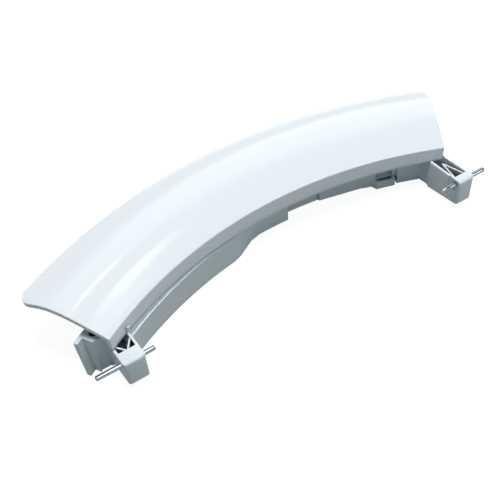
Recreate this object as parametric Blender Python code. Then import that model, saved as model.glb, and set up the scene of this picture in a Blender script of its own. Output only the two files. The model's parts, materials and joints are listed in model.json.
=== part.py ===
# Washing machine door handle: an arched glossy cover, screwed from below to a moulded
# carrier that swings on two steel pins, one through the end of each arm.
#
# Metres, +Z up. The hinge line runs along X, the arch bulges towards +Y and the glossy
# face looks up. Every outline below is drawn from the middle of the hinge line. At the end
# the whole handle is lifted so that it stands on its underside, over the origin.

import bpy
import bmesh
from math import asin, cos, degrees, pi, radians, sin, sqrt
from mathutils import Matrix, Vector

mm = 0.001

# Hinge pins
PIN_DIAMETER = 2.4 * mm
PIN_LENGTH = 28.5 * mm
PIN_CHAMFER = 0.3 * mm
BORE_CLEARANCE = 0.1 * mm          # between pin and bore, all round
LEFT_PIN_OUT = 12.0 * mm           # how far each pin stands out of its arm, outwards
RIGHT_PIN_OUT = 8.5 * mm

# Arms and the hinge blocks at their ends
ARM_SPAN = 180.0 * mm              # between the inner faces of the two arms
ARM_WIDTH = 11.0 * mm
ARM_LENGTH = 13.0 * mm             # hinge line to the skirt's foot, along the left arm's inner face
ARM_WALL = 1.3 * mm
ARM_FRONT = 3.0 * mm               # front face ahead of the hinge line
ARM_TOP = 2.6 * mm                 # top face above the hinge line
ARM_DEPTH = 11.8 * mm              # underside below the hinge line, at the front
ARM_FALL = 0.09                    # how much the underside drops for each metre backwards
ARM_DRAFT = 0.06                   # how much the outer face leans in for each metre down
RIGHT_INSET = 0.5 * mm             # the right arm is this much narrower at its front
RIGHT_TAPER = 0.045                # and by this share of a metre for each metre backwards
ARM_POCKET = 11.0 * mm             # floor of the arm's channel below the hinge line
ARM_EDGE = 2.0 * mm                # rounding of the block's upper front edge
ARM_SIDE_EDGE = 1.8 * mm           # of its upright front edges
ARM_RIM_EDGE = 0.6 * mm            # of the arm's other outer edges
LEFT_BLOCK_LENGTH = 7.2 * mm       # solid part of the arm that holds the bore
RIGHT_BLOCK_LENGTH = 5.0 * mm
RIB_THICKNESS = 0.8 * mm
LEFT_RIB_REACH = 6.5 * mm          # depth of the open V behind the left block
RIGHT_RIB_REACH = 12.7 * mm        # and of the upturned V behind the right block
ARM_JOG = 1.2 * mm                 # step in the right arm's inner face, near its root
ARM_JOG_AHEAD = 1.7 * mm           # where it starts, ahead of the skirt's foot
ARM_JOG_LENGTH = 3.0 * mm
FACE_RECESS = 0.35 * mm            # shallow seat around the pin on the right block's inner face
FACE_RECESS_DEPTH = 3.0 * mm       # from the hinge line down
FACE_RECESS_BACK = 4.6 * mm        # and back

# The arch that cover and carrier share
ARCH_ASIDE = 7.0 * mm              # its centre lies this far to the right of the middle
ARCH_RADIUS = 208.0 * mm           # to the foot of the cover's skirt

# Cover
COVER_WIDTH = 50.8 * mm
COVER_WALL = 2.5 * mm
SKIRT_WALL = 2.3 * mm
SKIRT_DRAFT = 0.8 * mm             # how far the skirt leans back over its height
SKIRT_FOOT = 1.1 * mm              # height of its lower edge at the middle of the arch
SKIRT_RISE = 1.4 * mm              # how much higher that edge is at the left end
INNER_HEIGHT = 9.4 * mm            # top face at the inner edge
CREST_HEIGHT = 15.6 * mm           # top face at its crest
CREST_PLACE = 31.0 * mm            # crest, measured from the skirt
OUTER_HEIGHT = 11.4 * mm           # top face at the outer lip
INNER_SLOPE = 0.25
OUTER_SLOPE = -0.15
INNER_EDGE = 0.8 * mm
COVER_CORNER = 8.5 * mm            # rounding of the two outer corners, in plan
COVER_LEFT_INSET = 0.56 * mm       # from the left arm's outer face to the end of the skirt
COVER_RIGHT_INSET = 3.5 * mm       # and from the right arm's, at the skirt's top
COVER_RIGHT_DRAFT = 1.2 * mm       # how far that end leans in towards the skirt's foot
COVER_LEFT_FLARE = 1.36 * mm       # how far the left end turns in on its way to the lip
COVER_RIGHT_FLARE = 3.2 * mm       # and the right end out

# Carrier
CARRIER_DEPTH = 15.0 * mm          # underside below the hinge line
DECK_HEIGHT = 6.0 * mm             # top of the deck above the hinge line
DECK_THICKNESS = 2.2 * mm
DECK_STEP = 0.2 * mm               # the deck ahead of the walls lies this much lower
PLASTIC_WALL = 2.0 * mm
FIT_GAP = 0.35 * mm                # between cover and carrier
DECK_START = 3.2 * mm              # deck's inner edge, from the skirt's foot
BACK_WALL = 12.0 * mm              # inner face of the rear wall, from the skirt's foot
BACK_DRAFT = 2.3 * mm              # how far the rear wall leans back over its height
WALL_PROUD = 1.0 * mm              # how far the deep wall's lower part stands proud, at the arm
PROUD_AHEAD = 3.7 * mm             # how far before the bend that step ends
PROUD_DROP = 3.4 * mm              # how far the step falls towards the arm
BEND_DEPTH = 7.0 * mm              # how far the deep wall goes back in its bend
SHELF_THICKNESS = 2.0 * mm         # under the skirt's foot
NOTCH_PLACE = 11.0 * mm            # back of the slot, from the skirt's foot
PAD_PLACE = 10.1 * mm              # start of the pad beside it
PAD_END_PLACE = 9.9 * mm
RIGHT_WALL_PLACE = 9.2 * mm        # wall that carries the clip pocket
RETURN_PLACE = 7.2 * mm            # wall that comes forward again next to the right arm
CHANNEL_END = 10.5 * mm            # back of the arms' channels, from the skirt's foot
CROSS_RIB = 1.4 * mm
BEND_RIB = 7.3 * mm                # the third rib, this far into the bend

# The front wall's stretches, along the skirt's foot from the right arm to the left
RETURN_LENGTH = 13.5 * mm
RIGHT_WALL_LENGTH = 14.9 * mm
RIGHT_STEP_LENGTH = 4.0 * mm
PAD_LENGTH = 11.2 * mm
PAD_RAMP_LENGTH = 12.0 * mm
SLOT_WIDTH = 20.0 * mm
SET_BACK_LENGTH = 17.8 * mm
BEND_LENGTH = 21.0 * mm

# Clip pocket on the right-hand wall
POCKET_ASIDE = 1.5 * mm            # from that wall's right-hand end
POCKET_WIDTH = 10.1 * mm
POCKET_PLACE = 5.9 * mm            # its front plate, from the skirt's foot
POCKET_WALL = 1.2 * mm
POCKET_HEIGHT = 4.7 * mm
WINDOW_DEPTH = 2.4 * mm            # recess in the wall above the pocket
WINDOW_HEIGHT = 9.0 * mm

# Box at the left end of the carrier
END_SETBACK = 0.9 * mm             # its front face, behind the skirt's foot at the arm's inner face
END_REACH = 5.6 * mm               # from the left arm's outer face to the box's corner
END_SLANT = 1.35 * mm              # how much further out its slanted side meets the rear wall
END_FIN = 3.25 * mm                # how far the rear wall runs on from there
END_STEP = 0.7 * mm                # the face's lower part lies this much further back
END_STEP_HEIGHT = -5.0 * mm
END_HOLE = 4.4 * mm
END_HOLE_PLACE = 11.4 * mm         # from the skirt's foot

# Screws that hold the cover on, from below
SCREW_PLACE = 8.6 * mm             # from the skirt's foot
PAD_SCREW_PLACE = 6.4 * mm         # the same, for the one above the pad
FIRST_SCREW = 12.0 * mm            # along the arch, from the left arm
BEND_SCREW = 10.9 * mm             # before the bend; the next one is in the slot's middle
PAD_SCREW = 2.2 * mm               # from the pad's right-hand end
SCREW_SHANK = 2.8 * mm
SCREW_LENGTH = 5.2 * mm
SCREW_HEAD = 5.0 * mm
SCREW_HEAD_HEIGHT = 1.7 * mm
SCREW_TIP = 1.2 * mm
CROSS_SLOT = 0.8 * mm
CROSS_SPAN = 2.8 * mm
CROSS_DEPTH = 0.9 * mm
BOSS_DIAMETER = 6.4 * mm
HOLE_CLEARANCE = 0.3 * mm          # between screw and plastic
SEAT_GAP = 0.3 * mm                # between faces that bear on each other

ARC_STEP = 1.6                     # degrees between the points of an arc
ROUND_STEPS = 28                   # sides of a round piece

TINY = 0.2 * mm                    # how far shapes reach into each other before they are joined
GRID = 7                           # decimals of a metre

ARM_INNER = ARM_SPAN / 2
ARM_OUTER = ARM_INNER + ARM_WIDTH
ARCH_BEHIND = sqrt(ARCH_RADIUS ** 2 - (ARM_INNER + ARCH_ASIDE) ** 2) - ARM_LENGTH
UNDERSIDE = -CARRIER_DEPTH
DECK_LOW = DECK_HEIGHT - DECK_THICKNESS
CEILING = DECK_LOW - DECK_STEP     # of the hollows behind the walls
DECK_RADIUS = ARCH_RADIUS + DECK_START
BACK_RADIUS = ARCH_RADIUS + BACK_WALL


def clear_scene():
    for item in list(bpy.data.objects):
        bpy.data.objects.remove(item, do_unlink=True)


def plastic(name, colour, roughness, metallic=0.0):
    material = bpy.data.materials.new(name)
    material.use_nodes = True
    shader = material.node_tree.nodes["Principled BSDF"]
    shader.inputs["Base Color"].default_value = (*colour, 1.0)
    shader.inputs["Roughness"].default_value = roughness
    shader.inputs["Metallic"].default_value = metallic
    return material


# Plan geometry on the arch

def on_arch(radius, angle):
    """A plan point at a radius and an angle in degrees, clockwise from +Y."""
    turn = radians(angle)
    return Vector((ARCH_ASIDE + radius * sin(turn), radius * cos(turn) - ARCH_BEHIND))


def angle_at_x(radius, x):
    return degrees(asin((x - ARCH_ASIDE) / radius))


def y_on_arch(radius, x):
    return sqrt(radius ** 2 - (x - ARCH_ASIDE) ** 2) - ARCH_BEHIND


def stations(start, end):
    count = max(1, round(abs(end - start) / ARC_STEP))
    return [start + (end - start) * i / count for i in range(count + 1)]


def arc(radius, angles):
    return [on_arch(radius, angle) for angle in angles]


def span(length):
    """The angle that a length along the skirt's foot takes."""
    return degrees(length / ARCH_RADIUS)


END_FACE = ARM_LENGTH + END_SETBACK
END_CORNER = -ARM_OUTER - END_REACH
END_SIDE = angle_at_x(BACK_RADIUS, END_CORNER - END_SLANT)
CARRIER_LEFT_END = angle_at_x(BACK_RADIUS, END_CORNER - END_SLANT - END_FIN)
COVER_LEFT_END = angle_at_x(ARCH_RADIUS, -ARM_OUTER + COVER_LEFT_INSET)
COVER_RIGHT_END = angle_at_x(ARCH_RADIUS, ARM_OUTER - COVER_RIGHT_INSET)
LEFT_ARM = angle_at_x(ARCH_RADIUS, -ARM_INNER)
RIGHT_ARM = angle_at_x(ARCH_RADIUS, ARM_INNER)
RETURN_START = RIGHT_ARM - span(RETURN_LENGTH)
RIGHT_WALL_START = RETURN_START - span(RIGHT_WALL_LENGTH)
PAD_END = RIGHT_WALL_START - span(RIGHT_STEP_LENGTH)
PAD_START = PAD_END - span(PAD_LENGTH)
SLOT_END = PAD_START - span(PAD_RAMP_LENGTH)
SLOT_START = SLOT_END - span(SLOT_WIDTH)
BEND_END = SLOT_START - span(SET_BACK_LENGTH)
BEND_START = BEND_END - span(BEND_LENGTH)
PROUD_START = BEND_START - span(PROUD_AHEAD)
RIGHT_FACE = ((SLOT_END, NOTCH_PLACE), (PAD_START, PAD_PLACE), (PAD_END, PAD_END_PLACE),
              (RIGHT_WALL_START, RIGHT_WALL_PLACE), (RETURN_START, RIGHT_WALL_PLACE))
POCKET_END = RETURN_START - span(POCKET_ASIDE)
POCKET_START = POCKET_END - span(POCKET_WIDTH)
ARM_JOG_START = y_on_arch(ARCH_RADIUS, ARM_INNER) - ARM_JOG_AHEAD
ROOT_SIDE = ARM_OUTER - RIGHT_INSET - RIGHT_TAPER * (ARM_FRONT + y_on_arch(BACK_RADIUS, ARM_OUTER))
SCREW_SPOTS = ((LEFT_ARM + span(FIRST_SCREW), SCREW_PLACE), (BEND_START - span(BEND_SCREW), SCREW_PLACE),
               ((SLOT_START + SLOT_END) / 2, SCREW_PLACE), (PAD_END - span(PAD_SCREW), PAD_SCREW_PLACE))


def skirt_foot(angle):
    return SKIRT_FOOT + SKIRT_RISE * (angle / COVER_LEFT_END) ** 2


def ledge_height(angle):
    """Top of whatever lies below the skirt."""
    return skirt_foot(angle) - FIT_GAP


def smooth(t):
    t = min(1.0, max(0.0, t))
    return t * t * (3 - 2 * t)


# Mesh builders

def new_object(name, bm):
    """Link a new object. Its points go onto one fine grid, so that those meant to meet do."""
    for vert in bm.verts:
        vert.co = [round(c, GRID) for c in vert.co]
    bmesh.ops.connect_verts_nonplanar(bm, faces=bm.faces, angle_limit=radians(0.01))
    bmesh.ops.recalc_face_normals(bm, faces=bm.faces)
    mesh = bpy.data.meshes.new(name)
    bm.to_mesh(mesh)
    bm.free()
    thing = bpy.data.objects.new(name, mesh)
    bpy.context.scene.collection.objects.link(thing)
    return thing


def heights(value, count):
    return list(value) if isinstance(value, (list, tuple)) else [value] * count


def wall(name, face, back, low, high, face_top=None, back_top=None):
    """A closed wall between two matching rows of plan points.

    low and high are one height or one for each point, and the top rows may lean."""
    face_top = face_top or face
    back_top = back_top or back
    count = len(face)
    lows = heights(low, count)
    highs = heights(high, count)
    bm = bmesh.new()
    rings = []
    for i in range(count):
        corners = ((face[i], lows[i]), (back[i], lows[i]), (back_top[i], highs[i]), (face_top[i], highs[i]))
        rings.append([bm.verts.new((p.x, p.y, z)) for p, z in corners])
    for a, b in zip(rings, rings[1:]):
        for k in range(4):
            n = (k + 1) % 4
            bm.faces.new((a[k], a[n], b[n], b[k]))
    bm.faces.new(rings[0])
    bm.faces.new(rings[-1])
    return new_object(name, bm)


def arc_wall(name, inner, outer, start, end, low, high, lean=0.0):
    angles = stations(start, end)
    if callable(low):
        low = [low(a) for a in angles]
    if callable(high):
        high = [high(a) for a in angles]
    face_top = arc(inner + lean, angles)
    back_top = arc(outer + lean, angles)
    return wall(name, arc(inner, angles), arc(outer, angles), low, high, face_top, back_top)


def prism(name, outline, low, high, top_outline=None):
    """A closed upright solid on a plan outline. low may be one height for each corner."""
    top_outline = top_outline or outline
    lows = heights(low, len(outline))
    bm = bmesh.new()
    bottom = [bm.verts.new((p.x, p.y, z)) for p, z in zip(outline, lows)]
    top = [bm.verts.new((p.x, p.y, high)) for p in top_outline]
    for i in range(len(outline)):
        n = (i + 1) % len(outline)
        bm.faces.new((bottom[i], bottom[n], top[n], top[i]))
    bm.faces.new(bottom[::-1])
    bm.faces.new(top)
    return new_object(name, bm)


def plate(name, angle, profile, thickness):
    """An upright plate that stands across the arch, from (reach, height) corners."""
    turn = radians(angle)
    side = Vector((cos(turn), -sin(turn))) * thickness / 2
    bm = bmesh.new()
    rings = []
    for offset in (side, -side):
        spots = [on_arch(ARCH_RADIUS + reach, angle) + offset for reach, height in profile]
        rings.append([bm.verts.new((p.x, p.y, corner[1])) for p, corner in zip(spots, profile)])
    count = len(profile)
    for i in range(count):
        n = (i + 1) % count
        bm.faces.new((rings[0][i], rings[0][n], rings[1][n], rings[1][i]))
    bm.faces.new(rings[0])
    bm.faces.new(rings[1])
    return new_object(name, bm)


def box(name, low, high):
    bm = bmesh.new()
    bmesh.ops.create_cube(bm, size=1.0)
    low = Vector(low)
    high = Vector(high)
    for vert in bm.verts:
        vert.co = (low + high) / 2 + Vector(vert.co[i] * (high[i] - low[i]) for i in range(3))
    return new_object(name, bm)


def straight_wall(name, start, end, thickness, low, high):
    """A wall centred on the plan line from start to end."""
    start = Vector(start)
    end = Vector(end)
    side = (end - start).normalized().orthogonal() * thickness / 2
    return wall(name, [start + side, end + side], [start - side, end - side], low, high)


def cylinder(name, radius, low, high, centre, axis="Z"):
    bm = bmesh.new()
    bmesh.ops.create_cone(bm, cap_ends=True, segments=ROUND_STEPS, radius1=radius, radius2=radius,
                          depth=high - low)
    bmesh.ops.translate(bm, verts=bm.verts, vec=(0, 0, (low + high) / 2))
    if axis == "X":
        bmesh.ops.rotate(bm, verts=bm.verts, matrix=Matrix.Rotation(pi / 2, 3, "Y"))
    bmesh.ops.translate(bm, verts=bm.verts, vec=centre)
    return new_object(name, bm)


def turned(name, profile):
    """A solid turned about Z, from (radius, height) points that start and end on the axis."""
    bm = bmesh.new()
    rings = []
    for radius, height in profile[1:-1]:
        ring = []
        for i in range(ROUND_STEPS):
            turn = 2 * pi * i / ROUND_STEPS
            ring.append(bm.verts.new((radius * cos(turn), radius * sin(turn), height)))
        rings.append(ring)
    for a, b in zip(rings, rings[1:]):
        for i in range(ROUND_STEPS):
            n = (i + 1) % ROUND_STEPS
            bm.faces.new((a[i], a[n], b[n], b[i]))
    bm.faces.new(rings[0])
    bm.faces.new(rings[-1])
    return new_object(name, bm)


def combine(target, tool, operation):
    """Join tool to target, or cut it out, and leave target a plain mesh."""
    step = target.modifiers.new(operation.lower(), "BOOLEAN")
    step.operation = operation
    step.solver = "EXACT"
    step.object = tool
    scene_state = bpy.context.evaluated_depsgraph_get()
    mesh = bpy.data.meshes.new_from_object(target.evaluated_get(scene_state))
    target.modifiers.clear()
    bm = bmesh.new()
    bm.from_mesh(mesh)
    bmesh.ops.triangulate(bm, faces=bm.faces)
    bm.to_mesh(mesh)
    bm.free()
    target.data = mesh
    bpy.data.objects.remove(tool, do_unlink=True)


def join(target, *tools):
    for tool in tools:
        combine(target, tool, "UNION")


def cut(target, *tools):
    for tool in tools:
        combine(target, tool, "DIFFERENCE")


# Cover

def hermite(t, start, end, start_slope, end_slope):
    return (start * (2 * t ** 3 - 3 * t ** 2 + 1) + end * (3 * t ** 2 - 2 * t ** 3)
            + start_slope * (t ** 3 - 2 * t ** 2 + t) + end_slope * (t ** 3 - t ** 2))


def cover_top(reach):
    """Height of the cover's top face at a distance from the skirt."""
    start = SKIRT_DRAFT
    if reach < CREST_PLACE:
        run = CREST_PLACE - start
        return hermite((reach - start) / run, INNER_HEIGHT, CREST_HEIGHT, INNER_SLOPE * run, 0)
    run = COVER_WIDTH - CREST_PLACE
    return hermite((reach - CREST_PLACE) / run, CREST_HEIGHT, OUTER_HEIGHT, 0, OUTER_SLOPE * run)


def cover_section(foot):
    """Matching outer and inner rows of (reach, height), from the skirt's foot to the lip."""
    edge_steps = 3
    top_steps = 15
    lip = COVER_WALL / 2
    outer = [(0.0, foot)]
    inner = [(SKIRT_WALL, foot)]
    skirt_back = SKIRT_DRAFT + SKIRT_WALL
    under_start = cover_top(skirt_back) - COVER_WALL
    for i in range(edge_steps + 1):
        turn = pi / 2 * i / edge_steps
        back = INNER_EDGE * (1 - cos(turn))
        down = INNER_EDGE * (1 - sin(turn))
        outer.append((SKIRT_DRAFT + back, INNER_HEIGHT - down))
        inner.append((skirt_back + back, under_start - down))
    top_start = SKIRT_DRAFT + INNER_EDGE
    under_reach = skirt_back + INNER_EDGE
    end = COVER_WIDTH - lip
    for i in range(1, top_steps + 1):
        share = i / top_steps
        reach = top_start + (end - top_start) * share
        below = under_reach + (end - under_reach) * share
        outer.append((reach, cover_top(reach)))
        inner.append((below, cover_top(below) - COVER_WALL))
    middle = cover_top(end) - lip
    for i in range(1, 4):
        turn = radians(82) * i / 3
        outer.append((end + lip * sin(turn), middle + lip * cos(turn)))
        inner.append((end + lip * sin(turn), middle - lip * cos(turn)))
    return outer, inner


def cover_end(reach, height, side):
    """Angle of the cover's end at a distance from the skirt, with its outer corner rounded."""
    share = reach / COVER_WIDTH / (ARCH_RADIUS + COVER_WIDTH)
    if side < 0:
        angle = COVER_LEFT_END + degrees(COVER_LEFT_FLARE * share)
    else:
        low = max(0.0, (INNER_HEIGHT - height) / (INNER_HEIGHT - SKIRT_FOOT))
        angle = COVER_RIGHT_END + degrees(COVER_RIGHT_FLARE * share) - span(COVER_RIGHT_DRAFT * low)
    into_corner = reach - (COVER_WIDTH - COVER_CORNER)
    if into_corner > 0:
        back = COVER_CORNER - sqrt(max(0.0, COVER_CORNER ** 2 - into_corner ** 2))
        angle -= side * degrees(back / (ARCH_RADIUS + reach))
    return angle


def make_cover(finish):
    steps = 36
    bm = bmesh.new()
    rings = []
    for j in range(steps + 1):
        middle = COVER_LEFT_END + (COVER_RIGHT_END - COVER_LEFT_END) * j / steps
        outer, inner = cover_section(skirt_foot(middle))
        ring = []
        for reach, height in outer + inner[::-1]:
            left = cover_end(reach, height, -1)
            right = cover_end(reach, height, 1)
            spot = on_arch(ARCH_RADIUS + reach, left + (right - left) * j / steps)
            ring.append(bm.verts.new((spot.x, spot.y, height)))
        rings.append(ring)
    size = len(rings[0])
    for a, b in zip(rings, rings[1:]):
        for k in range(size):
            n = (k + 1) % size
            bm.faces.new((a[k], a[n], b[n], b[k]))
    for ring in (rings[0], rings[-1]):
        for k in range(size // 2 - 1):
            bm.faces.new((ring[k], ring[k + 1], ring[size - 2 - k], ring[size - 1 - k]))
    cover = new_object("front_cover", bm)
    for angle, reach in SCREW_SPOTS:
        spot = on_arch(ARCH_RADIUS + reach, angle)
        boss_top = cover_top(reach) - COVER_WALL / 2
        place = (spot.x, spot.y, 0)
        join(cover, cylinder("boss", BOSS_DIAMETER / 2, DECK_HEIGHT + SEAT_GAP, boss_top, place))
        pilot = SCREW_SHANK / 2 + HOLE_CLEARANCE
        pilot_top = DECK_LOW + SCREW_LENGTH + HOLE_CLEARANCE
        cut(cover, cylinder("pilot", pilot, 0, pilot_top, place))
    cover.data.materials.append(finish)
    cover.data.shade_smooth()
    cover.data.set_sharp_from_angle(angle=radians(35))
    return cover


# Carrier

def lean(height):
    """How far the rear wall has leaned back at a height."""
    return BACK_DRAFT * (height - UNDERSIDE) / (DECK_HEIGHT - UNDERSIDE)


def bend_reach(angle):
    """How far behind the skirt's foot the front wall's face lies."""
    return BEND_DEPTH * smooth((angle - BEND_START) / (BEND_END - BEND_START))


def proud(angle):
    """How far the deep wall's lower part stands proud: more and more towards the arm."""
    return WALL_PROUD * max(0.0, (PROUD_START - angle) / (PROUD_START - LEFT_ARM))


def front_face(start, end):
    """The front wall's face in plan, bend included."""
    angles = stations(start, PROUD_START) + stations(PROUD_START, BEND_START)[1:]
    angles += stations(BEND_START, BEND_END)[1:] + stations(BEND_END, end)[1:]
    return [on_arch(ARCH_RADIUS - proud(a) + bend_reach(a), a) for a in angles]


def body_outline(height):
    """The carrier's plan at a height: only the rear wall leans."""
    back = BACK_RADIUS + lean(height)
    outer = back + PLASTIC_WALL
    points = [Vector((END_CORNER, END_FACE)), Vector((-ARM_OUTER + ARM_WALL, END_FACE))]
    points += front_face(angle_at_x(ARCH_RADIUS, -ARM_INNER - ARM_WALL / 2), SLOT_START)
    points += arc(ARCH_RADIUS + NOTCH_PLACE, stations(SLOT_START, SLOT_END))
    for (angle, reach), (next_angle, next_reach) in zip(RIGHT_FACE, RIGHT_FACE[1:]):
        angles = stations(angle, next_angle)[1:]
        for a in angles:
            share = (a - angle) / (next_angle - angle)
            points.append(on_arch(ARCH_RADIUS + reach + (next_reach - reach) * share, a))
    forward = ARCH_RADIUS + RETURN_PLACE
    root = Vector((ARM_INNER + ARM_JOG, y_on_arch(forward, ARM_INNER + ARM_JOG)))
    points += arc(forward, stations(RETURN_START, angle_at_x(forward, root.x)))
    points.append(Vector((ROOT_SIDE, root.y)))
    points.append(Vector((ROOT_SIDE, y_on_arch(outer, ROOT_SIDE))))
    points += arc(outer, stations(angle_at_x(BACK_RADIUS + PLASTIC_WALL, ROOT_SIDE), CARRIER_LEFT_END)[1:])
    points += arc(back, (CARRIER_LEFT_END, END_SIDE))
    return points


def deck_outline():
    inner = DECK_RADIUS - SKIRT_WALL / 2
    outer = BACK_RADIUS + PLASTIC_WALL / 2
    end = COVER_RIGHT_END - span(COVER_RIGHT_DRAFT)
    near = arc(inner, stations(angle_at_x(inner, -ARM_OUTER), end))
    far = arc(outer, stations(angle_at_x(outer, ROOT_SIDE), angle_at_x(outer, -ARM_OUTER)))
    return near + far


def arm_low(y):
    return -ARM_DEPTH - ARM_FALL * (y + ARM_FRONT)


def arm_side(side, y, z=ARM_TOP):
    """Where an arm's outer face lies. The right arm is a little narrower, more so towards its root."""
    x = ARM_OUTER - ARM_DRAFT * (ARM_TOP - z)
    if side > 0:
        x -= RIGHT_INSET + RIGHT_TAPER * (y + ARM_FRONT)
    return side * x


def arm(side, jog):
    """One arm, solid, from its front face to well inside the body."""
    inner = side * ARM_INNER
    rear = y_on_arch(DECK_RADIUS + PLASTIC_WALL, side * ARM_OUTER)
    corners = [(inner, -ARM_FRONT)]
    if jog:
        rear = y_on_arch(DECK_RADIUS + CHANNEL_END / 2, side * ARM_OUTER)
        corners.append((inner, ARM_JOG_START))
        corners.append((inner + side * jog, ARM_JOG_START + ARM_JOG_LENGTH))
    behind = ARCH_RADIUS + RETURN_PLACE + PLASTIC_WALL
    corners.append((inner + side * jog, y_on_arch(behind, inner)))
    rear += ARM_WIDTH / 2
    inside = [Vector(corner) for corner in corners]
    top = [Vector((arm_side(side, y), y)) for y in (rear, -ARM_FRONT)] + inside
    low = [Vector((arm_side(side, y, arm_low(y)), y)) for y in (rear, -ARM_FRONT)] + inside
    body = prism("arm", low, [arm_low(p.y) for p in low], ARM_TOP, top)
    soften_arm(body)
    return body


def arm_root(side, jog):
    """What joins an arm's top to the deck above it. The right one starts further back on the outside."""
    inner = side * (ARM_INNER + jog)
    outer = side * ARM_OUTER
    middle = (ARCH_RADIUS + DECK_RADIUS) / 2
    inner_front = y_on_arch(middle, inner)
    if side > 0:
        outer = ROOT_SIDE
        inner_front = max(inner_front, ARM_JOG_START + ARM_JOG_LENGTH)
        middle = ARCH_RADIUS + 3 * DECK_START
    behind = BACK_RADIUS + PLASTIC_WALL / 2
    plan = [Vector((outer, y_on_arch(middle, outer))), Vector((inner, inner_front)),
            Vector((inner, y_on_arch(behind, inner))), Vector((outer, y_on_arch(behind, outer)))]
    return prism("arm_root", plan, 0, DECK_LOW + DECK_THICKNESS / 2)


def channel(side, jog, block_length, ribs):
    """The arm's channel, open above ahead of the deck and closed by the deck behind.

    The ribs are taken out of it, so they stay standing in the arm."""
    inner = side * (ARM_INNER + ARM_WALL)
    shifted = inner + side * jog
    start = block_length - ARM_FRONT
    splits = [y_on_arch(DECK_RADIUS - FIT_GAP, x) for x in (shifted, side * ARM_OUTER)]
    overlaps = [y_on_arch(ARCH_RADIUS + SKIRT_WALL / 2, x) for x in (shifted, side * ARM_OUTER)]
    ends = [y_on_arch(ARCH_RADIUS + CHANNEL_END, x) for x in (shifted, side * ARM_OUTER)]

    def outer(y, z, thickness=ARM_WALL):
        return Vector((arm_side(side, y, z) - side * thickness, y))

    high = ARM_TOP + CARRIER_DEPTH
    inside = [Vector((inner, start)), Vector((shifted, splits[0]))]
    if jog:
        inside.insert(1, Vector((inner, ARM_JOG_START)))
    plans = [[outer(start, z)] + inside + [outer(splits[1], z)] for z in (-ARM_POCKET, high)]
    ahead = prism("channel", plans[0], -ARM_POCKET, high, plans[1])
    inside = [Vector((shifted, overlaps[0])), Vector((shifted, ends[0]))]
    hidden = ARM_WALL + TINY           # a little thicker, so that the two cuts share no leaning face
    plans = [[outer(overlaps[1], z, hidden)] + inside + [outer(ends[1], z, hidden)]
             for z in (-ARM_POCKET, DECK_LOW)]
    join(ahead, prism("channel", plans[0], -ARM_POCKET, DECK_LOW, plans[1]))
    cut(ahead, *ribs)
    return ahead


def soften_arm(body):
    """Rounds the block's front, and less so the arm's upper rims."""
    bm = bmesh.new()
    bm.from_mesh(body.data)
    weight = bm.edges.layers.float.new("bevel_weight_edge")
    for edge in bm.edges:
        a, b = [vert.co for vert in edge.verts]
        front = max(abs(a.y + ARM_FRONT), abs(b.y + ARM_FRONT)) < TINY / 2
        top = min(a.z, b.z) > ARM_TOP - TINY / 2
        if front and top:
            edge[weight] = 1.0
        elif front and abs(a.z - b.z) > ARM_EDGE:
            edge[weight] = ARM_SIDE_EDGE / ARM_EDGE
        elif (front or top) and min(a.y, b.y) < ARM_JOG_START:
            edge[weight] = ARM_RIM_EDGE / ARM_EDGE
    bm.to_mesh(body.data)
    bm.free()
    bevel = body.modifiers.new("rounding", "BEVEL")
    bevel.limit_method = "WEIGHT"
    bevel.width = ARM_EDGE
    bevel.segments = 3
    state = bpy.context.evaluated_depsgraph_get()
    mesh = bpy.data.meshes.new_from_object(body.evaluated_get(state))
    body.modifiers.clear()
    body.data = mesh


def left_ribs():
    """The V of thin ribs in the left arm, open to the back."""
    front = LEFT_BLOCK_LENGTH - ARM_FRONT - TINY
    back = front + LEFT_RIB_REACH
    middle = -ARM_INNER - ARM_WIDTH / 2
    spread = ARM_WIDTH / 2 - ARM_WALL / 2
    low = -ARM_POCKET - TINY
    high = ledge_height(COVER_LEFT_END)
    return [straight_wall("left_rib", (middle + side * TINY, front), (middle + side * spread, back),
                          RIB_THICKNESS, low, high) for side in (-1, 1)]


def right_ribs():
    """The V of thin ribs in the right arm, open to the front."""
    front = RIGHT_BLOCK_LENGTH - ARM_FRONT - TINY
    back = front + RIGHT_RIB_REACH
    middle = (ARM_INNER + arm_side(1, back)) / 2
    inset = ARM_WALL + RIB_THICKNESS / 2 + TINY
    low = -ARM_POCKET - TINY
    high = ledge_height(COVER_RIGHT_END)
    return [straight_wall("right_rib", (middle, back), (end, front), RIB_THICKNESS, low, high)
            for end in (ARM_INNER + inset, arm_side(1, front) - inset)]


def skirt_room():
    """The room that the skirt takes above the walls and arms."""
    angles = stations(COVER_LEFT_END - span(ARM_WIDTH), COVER_RIGHT_END + span(FIT_GAP))
    lows = [ledge_height(a) for a in angles]
    return wall("skirt_room", arc(ARCH_RADIUS - FIT_GAP, angles), arc(DECK_RADIUS, angles), lows,
                DECK_HEIGHT + PLASTIC_WALL)


def inner_row(start, end, reach_floor):
    """The front wall's inner face, never nearer than reach_floor to the skirt's foot."""
    angles = stations(start, BEND_START) + stations(BEND_START, BEND_END)[1:] + stations(BEND_END, end)[1:]
    reaches = [max(reach_floor, bend_reach(a) + PLASTIC_WALL) for a in angles]
    return [on_arch(ARCH_RADIUS + r, a) for r, a in zip(reaches, angles)]


def main_cavity():
    """The long hollow behind the front wall, that opens into the slot."""
    side = -ARM_INNER + PLASTIC_WALL / 2
    low = UNDERSIDE - mm
    start = angle_at_x(DECK_RADIUS + PLASTIC_WALL, side)
    end = SLOT_END + span(2 * TINY)
    near = inner_row(start, end, DECK_START + PLASTIC_WALL)
    plans = []
    for height in (low, CEILING):
        back = BACK_RADIUS + lean(height)
        far = arc(back, stations(end, angle_at_x(BACK_RADIUS, side))[:-1])
        plans.append(near + far + [Vector((side, y_on_arch(back, side)))])
    return prism("cavity", plans[0], low, CEILING, plans[1])


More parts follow.
